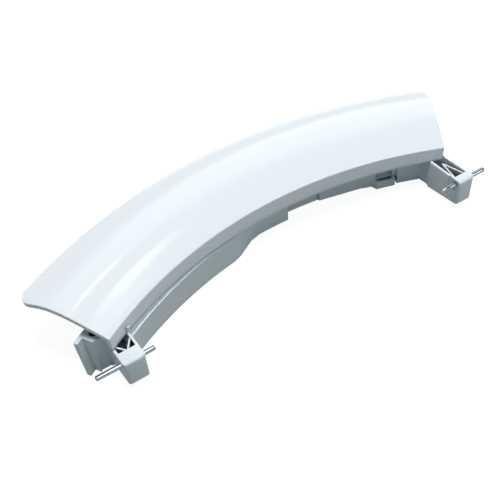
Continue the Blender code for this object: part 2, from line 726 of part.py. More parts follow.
def lower_cavity():
    """The same hollow below the shelf, where it is wider."""
    side = -ARM_INNER + PLASTIC_WALL
    low = UNDERSIDE - mm
    high = ledge_height(0) - SHELF_THICKNESS
    start = angle_at_x(ARCH_RADIUS + PLASTIC_WALL, side)
    end = BEND_START + 0.4 * (BEND_END - BEND_START)
    angles = stations(start, BEND_START) + stations(BEND_START, end)[1:]
    near = [on_arch(ARCH_RADIUS + PLASTIC_WALL + bend_reach(a), a) for a in angles]
    middle = (DECK_RADIUS + PLASTIC_WALL + BACK_RADIUS) / 2
    far = arc(middle, stations(end, angle_at_x(middle, side)))
    return prism("lower_cavity", near + far, low, high)


def return_cavity():
    near = ARCH_RADIUS + RETURN_PLACE + PLASTIC_WALL
    start = RETURN_START + span(PLASTIC_WALL)
    end = angle_at_x(near, ARM_INNER) - span(ARM_WALL / 2)
    low = UNDERSIDE - mm
    plans = [arc(near, (start, end)) + arc(BACK_RADIUS + lean(z), (end, start)) for z in (low, CEILING)]
    return prism("return_cavity", plans[0], low, CEILING, plans[1])


def end_cavity():
    """The hollow of the box at the left end."""
    low = UNDERSIDE - mm
    x = -ARM_OUTER - ARM_WALL
    front = END_FACE + END_STEP + ARM_WALL
    plans = []
    for z in (low, CEILING):
        back = BACK_RADIUS + lean(z)
        plans.append([Vector((END_CORNER + ARM_WALL / 2, front)), Vector((x, front)),
                      Vector((x, y_on_arch(back, x))), on_arch(back, END_SIDE + span(PLASTIC_WALL))])
    return prism("end_cavity", plans[0], low, CEILING, plans[1])


def end_step():
    return box("end_step", (END_CORNER + END_STEP, END_FACE - mm, UNDERSIDE - mm),
               (-ARM_OUTER, END_FACE + END_STEP, END_STEP_HEIGHT))


def upper_band():
    """The room above the deep wall's proud part."""
    start = angle_at_x(ARCH_RADIUS, -ARM_INNER + TINY)
    angles = stations(start, PROUD_START - span(PROUD_AHEAD))
    inner = ARCH_RADIUS - WALL_PROUD - mm
    tops = [ledge_height(a) - PROUD_DROP * proud(a) / WALL_PROUD for a in angles]
    return wall("upper_band", arc(inner, angles), arc(ARCH_RADIUS, angles), tops, DECK_HEIGHT + PLASTIC_WALL)


def clip_pocket():
    """A small pocket, open at the top, below a window in the wall."""
    face = ARCH_RADIUS + POCKET_PLACE
    behind = ARCH_RADIUS + RIGHT_WALL_PLACE + POCKET_WALL
    slant = degrees(POCKET_WALL / face)
    plan = arc(face, stations(POCKET_START, POCKET_END)) + arc(behind, (POCKET_END, POCKET_START - 2 * slant))
    block = prism("pocket", plan, UNDERSIDE + TINY, UNDERSIDE + POCKET_HEIGHT)
    near = face + POCKET_WALL
    inside = arc(near, stations(POCKET_START + slant, POCKET_END - slant))
    inside += arc(behind - POCKET_WALL, (POCKET_END - slant, POCKET_START + slant / 2))
    low = UNDERSIDE + POCKET_WALL
    cut(block, prism("pocket_hollow", inside, low, UNDERSIDE + POCKET_HEIGHT + mm))
    return block


def pocket_window():
    face = ARCH_RADIUS + RIGHT_WALL_PLACE
    low = UNDERSIDE + POCKET_HEIGHT
    side = span(POCKET_WALL / 2)
    return arc_wall("window", face - mm, face + WINDOW_DEPTH, POCKET_START + side, POCKET_END - side,
                    low, low + WINDOW_HEIGHT)


def cross_ribs():
    """Plates that stay standing across the long hollow: two between screws, one in the bend."""
    low = UNDERSIDE + PLASTIC_WALL
    back = BACK_WALL + BACK_DRAFT + PLASTIC_WALL
    first = SCREW_SPOTS[0][0]
    second = SCREW_SPOTS[1][0]
    profile = [(-PLASTIC_WALL, low), (back, low), (back, DECK_HEIGHT), (-PLASTIC_WALL, DECK_HEIGHT)]
    angles = [first + (second - first) * i / 3 for i in (1, 2)] + [BEND_START + span(BEND_RIB)]
    return [plate("cross_rib", angle, profile, CROSS_RIB) for angle in angles]


def long_hollow():
    hollow = main_cavity()
    join(hollow, lower_cavity())
    cut(hollow, *cross_ribs())
    return hollow


def gussets():
    """Small webs under the deck's front edge, on the right."""
    webs = []
    front = DECK_START + PLASTIC_WALL / 2
    back = RIGHT_WALL_PLACE + PLASTIC_WALL
    top = DECK_LOW + DECK_THICKNESS / 3
    profile = [(front, top), (front, DECK_LOW - TINY), (back, -DECK_THICKNESS), (back, top)]
    for angle in ((SLOT_END + PAD_START) / 2, (RIGHT_WALL_START + RETURN_START) / 2):
        webs.append(plate("gusset", angle, profile, CROSS_RIB))
    return webs


def screw_holes():
    holes = []
    radius = SCREW_SHANK / 2 + HOLE_CLEARANCE
    for angle, reach in SCREW_SPOTS:
        spot = on_arch(ARCH_RADIUS + reach, angle)
        holes.append(cylinder("screw_hole", radius, DECK_LOW - mm, DECK_HEIGHT + mm, (spot.x, spot.y, 0)))
    radius = ARCH_RADIUS + END_HOLE_PLACE
    spot = on_arch(radius, angle_at_x(radius, -ARM_OUTER - END_REACH / 2))
    holes.append(cylinder("end_hole", END_HOLE / 2, DECK_LOW - mm, DECK_HEIGHT + mm, (spot.x, spot.y, 0)))
    return holes


def pin_bores():
    radius = PIN_DIAMETER / 2 + BORE_CLEARANCE
    reach = ARM_WIDTH
    bores = []
    for side in (-1, 1):
        middle = side * (ARM_INNER + ARM_WIDTH / 2)
        bores.append(cylinder("bore", radius, -reach, reach, (middle, 0, 0), axis="X"))
    return bores


def face_recess():
    return box("face_recess", (ARM_INNER - mm, -ARM_FRONT - mm, -FACE_RECESS_DEPTH),
               (ARM_INNER + FACE_RECESS, FACE_RECESS_BACK, ARM_TOP + mm))


def make_carrier(finish):
    carrier = prism("carrier", body_outline(UNDERSIDE), UNDERSIDE, DECK_HEIGHT, body_outline(DECK_HEIGHT))
    join(carrier, prism("deck", deck_outline(), DECK_LOW, DECK_HEIGHT - DECK_STEP))
    join(carrier, arm(-1, 0), arm_root(-1, 0))
    join(carrier, arm(1, ARM_JOG), arm_root(1, ARM_JOG))
    join(carrier, clip_pocket())
    cut(carrier, upper_band(), skirt_room(), end_step(), pocket_window())
    cut(carrier, long_hollow(), return_cavity(), end_cavity())
    cut(carrier, channel(-1, 0, LEFT_BLOCK_LENGTH, left_ribs()))
    cut(carrier, channel(1, ARM_JOG, RIGHT_BLOCK_LENGTH, right_ribs()))
    join(carrier, *gussets())
    cut(carrier, face_recess())
    cut(carrier, *screw_holes())
    cut(carrier, *pin_bores())
    carrier.data.materials.append(finish)
    carrier.data.shade_smooth()
    carrier.data.set_sharp_from_angle(angle=radians(30))
    return carrier


# Metal pieces

def make_pin(name, side, overhang, finish):
    radius = PIN_DIAMETER / 2
    half = PIN_LENGTH / 2
    profile = [(0, -half), (radius - PIN_CHAMFER, -half), (radius, -half + PIN_CHAMFER),
               (radius, half - PIN_CHAMFER), (radius - PIN_CHAMFER, half), (0, half)]
    pin = turned(name, profile)
    pin.data.transform(Matrix.Rotation(pi / 2, 4, "Y"))
    pin.location = (side * (ARM_OUTER + overhang - half), 0, 0)
    pin.data.materials.append(finish)
    pin.data.shade_smooth()
    pin.data.set_sharp_from_angle(angle=radians(30))
    return pin


def screw_mesh(finish):
    """A pan-head screw that points up, with its head's bearing face at height zero."""
    shank = SCREW_SHANK / 2
    head = SCREW_HEAD / 2
    tall = SCREW_HEAD_HEIGHT
    length = SCREW_LENGTH - SEAT_GAP
    profile = [(0, -tall), (head * 0.55, -tall), (head * 0.85, -tall * 0.8), (head, -tall * 0.35), (head, 0),
               (shank, 0), (shank, length - SCREW_TIP), (shank * 0.25, length), (0, length)]
    screw = turned("screw", profile)
    for long, wide in ((CROSS_SPAN / 2, CROSS_SLOT / 2), (CROSS_SLOT / 2, CROSS_SPAN / 2)):
        cut(screw, box("slot", (-long, -wide, -tall - mm), (long, wide, -tall + CROSS_DEPTH)))
    screw.data.materials.append(finish)
    screw.data.shade_smooth()
    screw.data.set_sharp_from_angle(angle=radians(30))
    mesh = screw.data
    bpy.data.objects.remove(screw, do_unlink=True)
    return mesh


def make_screws(finish):
    mesh = screw_mesh(finish)
    screws = []
    for number, (angle, reach) in enumerate(SCREW_SPOTS, 1):
        spot = on_arch(ARCH_RADIUS + reach, angle)
        screw = bpy.data.objects.new(f"cover_screw_{number}", mesh)
        screw.location = (spot.x, spot.y, DECK_LOW - SEAT_GAP)
        screw.rotation_euler = (0, 0, -radians(angle))
        bpy.context.scene.collection.objects.link(screw)
        screws.append(screw)
    return screws


def stand_up(pieces):
    """Carry all pieces on one empty, on the hinge line, that puts the handle over the origin."""
    corners = [piece.matrix_world @ vert.co for piece in pieces for vert in piece.data.vertices]
    low = Vector(min(c[i] for c in corners) for i in range(3))
    high = Vector(max(c[i] for c in corners) for i in range(3))
    hinge_line = bpy.data.objects.new("hinge_line", None)
    bpy.context.scene.collection.objects.link(hinge_line)
    for piece in pieces:
        piece.parent = hinge_line
    hinge_line.location = (-(low.x + high.x) / 2, -(low.y + high.y) / 2, -low.z)


def main():
    clear_scene()
    gloss = plastic("gloss_white", (0.86, 0.88, 0.90), 0.12)
    matte = plastic("matte_white", (0.72, 0.75, 0.76), 0.45)
    steel = plastic("pin_steel", (0.62, 0.65, 0.68), 0.2, 1.0)
    zinc = plastic("screw_zinc", (0.55, 0.56, 0.58), 0.35, 1.0)
    pieces = [make_cover(gloss), make_carrier(matte)]
    pieces.append(make_pin("left_hinge_pin", -1, LEFT_PIN_OUT, steel))
    pieces.append(make_pin("right_hinge_pin", 1, RIGHT_PIN_OUT, steel))
    pieces += make_screws(zinc)
    bpy.context.view_layer.update()
    stand_up(pieces)
    bpy.context.view_layer.update()


main()
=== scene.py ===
import json
import bmesh
import bpy
from math import asin, cos, degrees, pi, radians, sin
from mathutils import Matrix, Vector


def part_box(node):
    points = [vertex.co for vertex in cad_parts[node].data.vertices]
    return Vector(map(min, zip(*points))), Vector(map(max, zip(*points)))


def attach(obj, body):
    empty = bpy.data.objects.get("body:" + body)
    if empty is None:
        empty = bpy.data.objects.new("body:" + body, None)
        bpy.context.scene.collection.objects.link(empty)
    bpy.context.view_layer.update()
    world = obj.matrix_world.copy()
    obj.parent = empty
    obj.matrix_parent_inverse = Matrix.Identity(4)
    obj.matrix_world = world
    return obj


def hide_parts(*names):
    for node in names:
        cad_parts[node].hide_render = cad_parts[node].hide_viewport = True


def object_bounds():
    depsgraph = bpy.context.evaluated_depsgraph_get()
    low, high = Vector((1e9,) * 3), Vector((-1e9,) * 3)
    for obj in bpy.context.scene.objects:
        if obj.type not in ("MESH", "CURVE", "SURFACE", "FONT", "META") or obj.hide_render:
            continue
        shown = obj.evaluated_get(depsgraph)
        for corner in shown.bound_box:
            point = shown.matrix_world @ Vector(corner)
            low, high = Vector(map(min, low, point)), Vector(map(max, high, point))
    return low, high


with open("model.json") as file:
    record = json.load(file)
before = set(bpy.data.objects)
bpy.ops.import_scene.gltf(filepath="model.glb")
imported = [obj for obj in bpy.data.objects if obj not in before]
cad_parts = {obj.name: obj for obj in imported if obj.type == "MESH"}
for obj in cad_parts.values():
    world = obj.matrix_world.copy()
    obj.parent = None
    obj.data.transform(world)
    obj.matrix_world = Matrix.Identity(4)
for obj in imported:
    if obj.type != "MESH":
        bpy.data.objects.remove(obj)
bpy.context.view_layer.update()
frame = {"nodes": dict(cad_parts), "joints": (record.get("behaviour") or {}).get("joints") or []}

# Washing machine door handle: a glossy arched cover on a matt carrier, with two loose steel pins.
# All sizes are in metres. Places are measured from the middle of the hinge line, and each
# finished mesh is shifted once to where that line lies in the model.

mm = 0.001
pivots = {joint["name"]: Vector(joint["pos_m"]) for joint in frame["joints"]}
hingeMiddle = (pivots["left_pin_turn"] + pivots["right_pin_turn"]) / 2

arch = dict(
    aside=7.0 * mm,              # the curve's centre, to the right of the middle
    behind=170.997 * mm,         # and ahead of the hinge line
    radius=208.0 * mm,           # to the foot of the skirt
)


def archAngle(x):
    return degrees(asin((x - arch["aside"]) / arch["radius"]))


def archSpan(length):            # the angle that a length along the skirt's foot takes
    return degrees(length / arch["radius"])


def linkObject(name, mesh):
    thing = bpy.data.objects.new(name, mesh)
    bpy.context.scene.collection.objects.link(thing)
    return thing


def meshFrom(bm, name):
    mesh = bpy.data.meshes.new(name)
    bm.to_mesh(mesh)
    bm.free()
    return mesh


# what the modifiers make becomes the object's own plain mesh
def bakeModifiers(thing):
    state = bpy.context.evaluated_depsgraph_get()
    mesh = bpy.data.meshes.new_from_object(thing.evaluated_get(state))
    thing.modifiers.clear()
    thing.data = mesh


# smooth everywhere but across edges that fold by the angle or more
def smoothShade(thing, angle):
    bm = bmesh.new()
    bm.from_mesh(thing.data)
    for face in bm.faces:
        face.smooth = True
    for edge in bm.edges:
        edge.smooth = edge.calc_face_angle(pi) < radians(angle)
    bm.to_mesh(thing.data)
    bm.free()


def softenEdges(thing, width, segments, angle):
    bevel = thing.modifiers.new("edge rounding", "BEVEL")
    bevel.width = width
    bevel.segments = segments
    bevel.limit_method = "ANGLE"
    bevel.angle_limit = radians(angle)
    bevel.use_clamp_overlap = True
    bakeModifiers(thing)


def toHingeLine(thing):
    thing.data.transform(Matrix.Translation(hingeMiddle))


def faceOutwards(mesh):
    bm = bmesh.new()
    bm.from_mesh(mesh)
    bmesh.ops.recalc_face_normals(bm, faces=bm.faces)
    bm.to_mesh(mesh)
    bm.free()


# quads between two rings of as many points
def joinRings(bm, low, high):
    for i in range(len(low)):
        n = (i + 1) % len(low)
        bm.faces.new((low[i], low[n], high[n], high[i]))


# rings of points turned about Z, with a flat cap at both ends
def turnedMesh(name, rows, sides):
    bm = bmesh.new()
    rings = []
    for radiusAt, height in rows:
        ring = []
        for i in range(sides):
            turn = 2 * pi * i / sides
            radius = radiusAt(turn) if callable(radiusAt) else radiusAt
            ring.append(bm.verts.new((radius * cos(turn), radius * sin(turn), height)))
        rings.append(ring)
    for low, high in zip(rings, rings[1:]):
        joinRings(bm, low, high)
    bm.faces.new(rings[0])
    bm.faces.new(rings[-1])
    bmesh.ops.recalc_face_normals(bm, faces=bm.faces)
    return meshFrom(bm, name)


# Node helpers, for shaders and for Geometry Nodes alike

def plug(tree, value, socket):
    if isinstance(value, bpy.types.NodeSocket):
        tree.links.new(value, socket)
    else:
        socket.default_value = value


def calc(tree, operation, *values):
    node = tree.nodes.new("ShaderNodeMath")
    node.operation = operation
    for value, socket in zip(values, node.inputs):
        plug(tree, value, socket)
    return node.outputs[0]


def mapped(tree, value, low, high, toLow=0.0, toHigh=1.0):
    node = tree.nodes.new("ShaderNodeMapRange")
    node.interpolation_type = "SMOOTHSTEP"
    for label, given in (("Value", value), ("From Min", low), ("From Max", high),
                         ("To Min", toLow), ("To Max", toHigh)):
        plug(tree, given, node.inputs[label])
    return node.outputs["Result"]


def dotted(tree, first, second):
    node = tree.nodes.new("ShaderNodeVectorMath")
    node.operation = "DOT_PRODUCT"
    plug(tree, first, node.inputs[0])
    plug(tree, second, node.inputs[1])
    return node.outputs["Value"]


def noise(tree, vector, scale, detail=2.0, roughness=0.5):
    node = tree.nodes.new("ShaderNodeTexNoise")
    tree.links.new(vector, node.inputs["Vector"])
    plug(tree, scale, node.inputs["Scale"])
    node.inputs["Detail"].default_value = detail
    node.inputs["Roughness"].default_value = roughness
    return node.outputs["Fac"]


def stretched(tree, vector, scale):
    node = tree.nodes.new("ShaderNodeMapping")
    tree.links.new(vector, node.inputs["Vector"])
    node.inputs["Scale"].default_value = scale
    return node.outputs[0]


def separated(tree, vector):
    node = tree.nodes.new("ShaderNodeSeparateXYZ")
    tree.links.new(vector, node.inputs[0])
    return node.outputs


def objectPlace(tree):
    return tree.nodes.new("ShaderNodeTexCoord").outputs["Object"]


def addNumbers(tree, numbers):
    for label, value in numbers.items():
        socket = tree.interface.new_socket(label, in_out="INPUT", socket_type="NodeSocketFloat")
        socket.default_value = value


# Shader groups

surface = dict(
    quickRatio=9.0,                                 # scale of the gloss drift to the tone drift's
    coarseRatio=0.3, fineShare=0.7, coarseShare=0.3,               # the two sizes of mould grain
    wornEdge=(0.995, 0.90),                         # rounded dot flat normal: first wear, full wear
    wornPatch=(0.35, 0.65),
    scratchRuns=(((1.0, 22.0, 4.0), 0.66, 0.74),    # stretch of the noise, and where a line shows
                 ((18.0, 1.4, 4.0), 0.68, 0.76)),
    wearGloss=0.18, scratchHeight=-0.5, leastRoughness=0.05,
    # samples for the rounded normals and for the painted pocket shade
    bevelSamples=6, shadeSamples=8,
)


def newGroup(name, inputs, outputs, vectors=()):
    group = bpy.data.node_groups.new(name, "ShaderNodeTree")
    for label in vectors:
        group.interface.new_socket(label, in_out="INPUT", socket_type="NodeSocketVector")
    addNumbers(group, inputs)
    for label in outputs:
        group.interface.new_socket(label, in_out="OUTPUT", socket_type="NodeSocketFloat")
    given = group.nodes.new("NodeGroupInput").outputs
    return group, given, group.nodes.new("NodeGroupOutput").inputs


# slow change of tone and quicker change of gloss, as a moulding shows under raking light
def buildDrift():
    group, given, out = newGroup(
        "surfaceDrift", {"Scale": 30.0, "Tone Change": 0.03, "Gloss Change": 0.05},
        ("Tone", "Gloss"))
    place = objectPlace(group)
    slow = calc(group, "SUBTRACT", noise(group, place, given["Scale"], detail=3.0), 0.5)
    plug(group, calc(group, "MULTIPLY_ADD", slow, given["Tone Change"], 1.0), out["Tone"])
    quickScale = calc(group, "MULTIPLY", given["Scale"], surface["quickRatio"])
    quick = calc(group, "SUBTRACT", noise(group, place, quickScale, detail=4.0), 0.5)
    plug(group, calc(group, "MULTIPLY", quick, given["Gloss Change"]), out["Gloss"])
    return group


# fine grain of a spark-eroded mould
def buildGrain():
    group, given, out = newGroup(
        "mouldGrain", {"Grain Scale": 2200.0, "Grain Depth": 1.0}, ("Height",))
    place = objectPlace(group)
    fine = noise(group, place, given["Grain Scale"], detail=2.0, roughness=0.6)
    coarseScale = calc(group, "MULTIPLY", given["Grain Scale"], surface["coarseRatio"])
    coarse = noise(group, place, coarseScale, detail=1.0)
    height = calc(group, "MULTIPLY_ADD", fine, surface["fineShare"],
                  calc(group, "MULTIPLY", coarse, surface["coarseShare"]))
    plug(group, calc(group, "MULTIPLY", height, given["Grain Depth"]), out["Height"])
    return group


# where edges have been rubbed, from how far a rounded normal turns away from the flat one
def buildEdgeWear():
    group, given, out = newGroup("edgeWear", {"Patch Scale": 90.0, "Amount": 0.5}, ("Wear",),
                                 vectors=("Rounded Normal",))
    place = objectPlace(group)
    flat = group.nodes.new("ShaderNodeNewGeometry").outputs["Normal"]
    turned = mapped(group, dotted(group, given["Rounded Normal"], flat), *surface["wornEdge"])
    patches = noise(group, place, given["Patch Scale"], detail=4.0, roughness=0.6)
    worn = calc(group, "MULTIPLY", turned, mapped(group, patches, *surface["wornPatch"]))
    plug(group, calc(group, "MULTIPLY", worn, given["Amount"]), out["Wear"])
    return group


# hairline scratches, as a mask: long thin noise in two directions
def buildScratches():
    group, given, out = newGroup(
        "fineScratches", {"Scratch Scale": 60.0, "Amount": 0.3}, ("Scratch",))
    place = objectPlace(group)
    runs = []
    for stretch, low, high in surface["scratchRuns"]:
        long = noise(group, stretched(group, place, stretch), given["Scratch Scale"],
                     detail=3.0, roughness=0.7)
        runs.append(mapped(group, long, low, high))
    lines = calc(group, "MAXIMUM", *runs)
    plug(group, calc(group, "MULTIPLY", lines, given["Amount"]), out["Scratch"])
    return group


driftGroup = buildDrift()
grainGroup = buildGrain()
wearGroup = buildEdgeWear()
scratchGroup = buildScratches()


def placeGroup(tree, group, values):
    node = tree.nodes.new("ShaderNodeGroup")
    node.node_tree = group
    for label, value in values.items():
        plug(tree, value, node.inputs[label])
    return node.outputs


def newMaterial(name):
    material = bpy.data.materials.new(name)
    material.use_nodes = True
    tree = material.node_tree
    return material, tree, tree.nodes["Principled BSDF"]


def scaledColour(tree, colour, tone):
    node = tree.nodes.new("ShaderNodeVectorMath")
    node.operation = "SCALE"
    node.inputs[0].default_value = colour
    tree.links.new(tone, node.inputs["Scale"])
    return node.outputs[0]


def roundedNormal(tree, radius):
    node = tree.nodes.new("ShaderNodeBevel")
    node.samples = surface["bevelSamples"]
    node.inputs["Radius"].default_value = radius
    return node.outputs["Normal"]


# drift, rubbed edges, scratches and grain on one Principled shader
def dressShader(tree, shader, look, extraHeight=None, paintedLightTone=None):
    rounded = roundedNormal(tree, look["edgeRadius"])
    drift = placeGroup(tree, driftGroup, {
        "Scale": look["driftScale"], "Tone Change": look["toneChange"],
        "Gloss Change": look["glossChange"]})
    wear = placeGroup(tree, wearGroup, {
        "Rounded Normal": rounded, "Patch Scale": look["patchScale"],
        "Amount": look["wear"]})["Wear"]
    scratch = placeGroup(tree, scratchGroup, {
        "Scratch Scale": look["scratchScale"], "Amount": look["scratches"]})["Scratch"]
    tone = calc(tree, "MULTIPLY_ADD", wear, look["wearTone"], drift["Tone"])
    # painted shade and painted highlight, when given, scale the tone
    if paintedLightTone:
        tone = calc(tree, "MULTIPLY", tone, paintedLightTone)
    tree.links.new(scaledColour(tree, look["colour"], tone), shader.inputs["Base Color"])
    gloss = calc(tree, "ADD", look["roughness"], drift["Gloss"])
    gloss = calc(tree, "MULTIPLY_ADD", wear, surface["wearGloss"], gloss)
    gloss = calc(tree, "ADD", gloss, scratch)
    gloss = calc(tree, "MAXIMUM", gloss, surface["leastRoughness"])
    tree.links.new(gloss, shader.inputs["Roughness"])
    height = placeGroup(tree, grainGroup, {
        "Grain Scale": look["grainScale"], "Grain Depth": 1.0})["Height"]
    height = calc(tree, "MULTIPLY_ADD", scratch, surface["scratchHeight"], height)
    if extraHeight:
        height = calc(tree, "ADD", height, extraHeight)
    bump = tree.nodes.new("ShaderNodeBump")
    bump.inputs["Strength"].default_value = look["grainStrength"]
    bump.inputs["Distance"].default_value = look["grainDepth"]
    tree.links.new(height, bump.inputs["Height"])
    tree.links.new(rounded, bump.inputs["Normal"])
    tree.links.new(bump.outputs["Normal"], shader.inputs["Normal"])


glossLook = dict(
    colour=(0.80, 0.83, 0.875), roughness=0.08, ior=1.53, edgeRadius=0.15 * mm,
    driftScale=22.0, toneChange=0.02, glossChange=0.04,
    patchScale=70.0, wear=0.25, wearTone=0.04, scratchScale=34.0, scratches=0.05,
    grainScale=420.0, grainStrength=0.03, grainDepth=0.04 * mm,
)
mattLook = dict(
    colour=(0.75, 0.80, 0.835), roughness=0.40, ior=1.53, edgeRadius=0.35 * mm,
    driftScale=40.0, toneChange=0.05, glossChange=0.12,
    patchScale=120.0, wear=0.5, wearTone=0.07, scratchScale=50.0, scratches=0.10,
    grainScale=2600.0, grainStrength=0.10, grainDepth=0.05 * mm,
    # the parting line: a real ridge in the bump, and a lighter tone that is a painted highlight
    partingLevel=0.75 * mm, partingWidth=0.14 * mm, partingReach=2.0 * mm,
    partingFade=0.5 * mm, partingHighlight=0.14, partingHeight=6.0,     # the height in grain depths
    # painted shade in pockets: how far it looks around, where it starts and ends, and its darkest
    # tone
    shadeReach=7.0 * mm, shadeFrom=0.08, shadeTo=0.48, shadeTone=0.22,
)
steelLook = dict(
    colour=(0.47, 0.51, 0.58), roughness=0.10, edgeRadius=0.12 * mm,
    driftScale=160.0, toneChange=0.10, glossChange=0.08,
    patchScale=300.0, wear=0.4, wearTone=0.15, scratchScale=110.0, scratches=0.12,
    grainScale=1500.0, grainStrength=0.10, grainDepth=0.02 * mm, edgeTint=(0.02, 0.03, 0.06),
)
zincLook = dict(
    colour=(0.56, 0.58, 0.61), roughness=0.32, edgeRadius=0.15 * mm,
    driftScale=220.0, toneChange=0.14, glossChange=0.14,
    patchScale=300.0, wear=0.6, wearTone=0.12, scratchScale=130.0, scratches=0.15,
    grainScale=1200.0, grainStrength=0.14, grainDepth=0.03 * mm, edgeTint=(0.35, 0.36, 0.40),
)


# painted shade in a deep pocket, as a factor on the colour: 1 in the open, less where walls stand
# close around
def paintedPocketShade(tree, look):
    node = tree.nodes.new("ShaderNodeAmbientOcclusion")
    node.samples = surface["shadeSamples"]
    node.inputs["Distance"].default_value = look["shadeReach"]
    return mapped(tree, node.outputs["AO"], look["shadeFrom"], look["shadeTo"], look["shadeTone"], 1.0)


# where the two mould halves met, across the blocks' fronts: a mask for the line's real ridge in the
# bump and for its painted highlight in the colour
def partingLine(tree, look):
    place = separated(tree, objectPlace(tree))
    level = hingeMiddle.z + look["partingLevel"]
    away = calc(tree, "ABSOLUTE", calc(tree, "SUBTRACT", place[2], level))
    band = mapped(tree, away, look["partingWidth"], 0.0)
    reach = hingeMiddle.y + look["partingReach"]
    front = mapped(tree, place[1], reach, reach - look["partingFade"])
    return calc(tree, "MULTIPLY", band, front)


def mouldedPlastic(name, look):
    material, tree, shader = newMaterial(name)
    shader.inputs["IOR"].default_value = look["ior"]
    height, tone = None, None
    if "partingLevel" in look:
        line = partingLine(tree, look)
        lineHighlight = calc(tree, "MULTIPLY_ADD", line, look["partingHighlight"], 1.0)
        # the colour is darkened by painted shade in deep pockets and lightened by the parting
        # line's painted highlight
        tone = calc(tree, "MULTIPLY", lineHighlight, paintedPocketShade(tree, look))
        height = calc(tree, "MULTIPLY", line, look["partingHeight"])
    dressShader(tree, shader, look, height, tone)
    return material


def bareMetal(name, look):
    material, tree, shader = newMaterial(name)
    shader.inputs["Metallic"].default_value = 1.0
    shader.inputs["Specular Tint"].default_value = (*look["edgeTint"], 1)
    dressShader(tree, shader, look)
    return material


glossWhite = mouldedPlastic("glossWhite", glossLook)
mattWhite = mouldedPlastic("mattWhite", mattLook)
pinSteel = bareMetal("pinSteel", steelLook)
screwZinc = bareMetal("screwZinc", zincLook)
print("materials ready")


# Camera, as the photo was taken

view = dict(
    place=Vector((-159.99, -218.90, 278.93)) * mm,     # from the middle of the hinge line
    look=Vector((0.35573, 0.61490, -0.70381)),
    roll=-5.25, lens=59.745, shift=(0.0020, -0.0009), nearest=10.0 * mm,
)


def makeCamera():
    camera = bpy.data.cameras.new("camera")
    camera.lens = view["lens"]
    camera.shift_x, camera.shift_y = view["shift"]
    camera.clip_start = view["nearest"]
    holder = bpy.data.objects.new("camera", camera)
    aim = view["look"].to_track_quat("-Z", "Y").to_matrix()
    turn = aim @ Matrix.Rotation(radians(view["roll"]), 3, "Z")
    holder.matrix_world = Matrix.Translation(hingeMiddle + view["place"]) @ turn.to_4x4()
    bpy.context.scene.collection.objects.link(holder)
    bpy.context.scene.camera = holder


makeCamera()
print("camera ready")


# Geometry Nodes that put things on the arch

def newTree(name, numbers, others=()):
    tree = bpy.data.node_groups.new(name, "GeometryNodeTree")
    tree.interface.new_socket("Geometry", in_out="INPUT", socket_type="NodeSocketGeometry")
    addNumbers(tree, numbers)
    for label, kind in others:
        tree.interface.new_socket(label, in_out="INPUT", socket_type=kind)
    tree.interface.new_socket("Material", in_out="INPUT", socket_type="NodeSocketMaterial")
    tree.interface.new_socket("Geometry", in_out="OUTPUT", socket_type="NodeSocketGeometry")
    return tree, tree.nodes.new("NodeGroupInput").outputs


def finishTree(tree, given, geometry):
    real = tree.nodes.new("GeometryNodeRealizeInstances")
    tree.links.new(geometry, real.inputs[0])
    paint = tree.nodes.new("GeometryNodeSetMaterial")
    tree.links.new(real.outputs[0], paint.inputs["Geometry"])
    tree.links.new(given["Material"], paint.inputs["Material"])
    tree.links.new(paint.outputs[0], tree.nodes.new("NodeGroupOutput").inputs[0])


def namedValue(tree, name):
    node = tree.nodes.new("GeometryNodeInputNamedAttribute")
    node.data_type = "FLOAT"
    node.inputs["Name"].default_value = name
    return node.outputs["Attribute"]


def combined(tree, x, y, z):
    node = tree.nodes.new("ShaderNodeCombineXYZ")
    for value, socket in zip((x, y, z), node.inputs):
        plug(tree, value, socket)
    return node.outputs[0]


def placeOnArch(tree, given, radius, turn):
    x = calc(tree, "MULTIPLY_ADD", radius, calc(tree, "SINE", turn), given["Arch Aside"])
    ahead = calc(tree, "MULTIPLY", radius, calc(tree, "COSINE", turn))
    return x, calc(tree, "SUBTRACT", ahead, given["Arch Behind"])


def movedTo(tree, geometry, x, y, z):
    move = tree.nodes.new("GeometryNodeSetPosition")
    tree.links.new(geometry, move.inputs["Geometry"])
    tree.links.new(combined(tree, x, y, z), move.inputs["Position"])
    return move.outputs[0]


archInputs = {
    "Arch Aside": arch["aside"], "Arch Behind": arch["behind"], "Arch Radius": arch["radius"]}


# a modifier's inputs by name, through their identifiers
def setInputs(modifier, values):
    keys = {item.name: item.identifier for item in modifier.node_group.interface.items_tree
            if item.item_type == "SOCKET" and item.in_out == "INPUT"}
    for label, value in values.items():
        modifier[keys[label]] = value


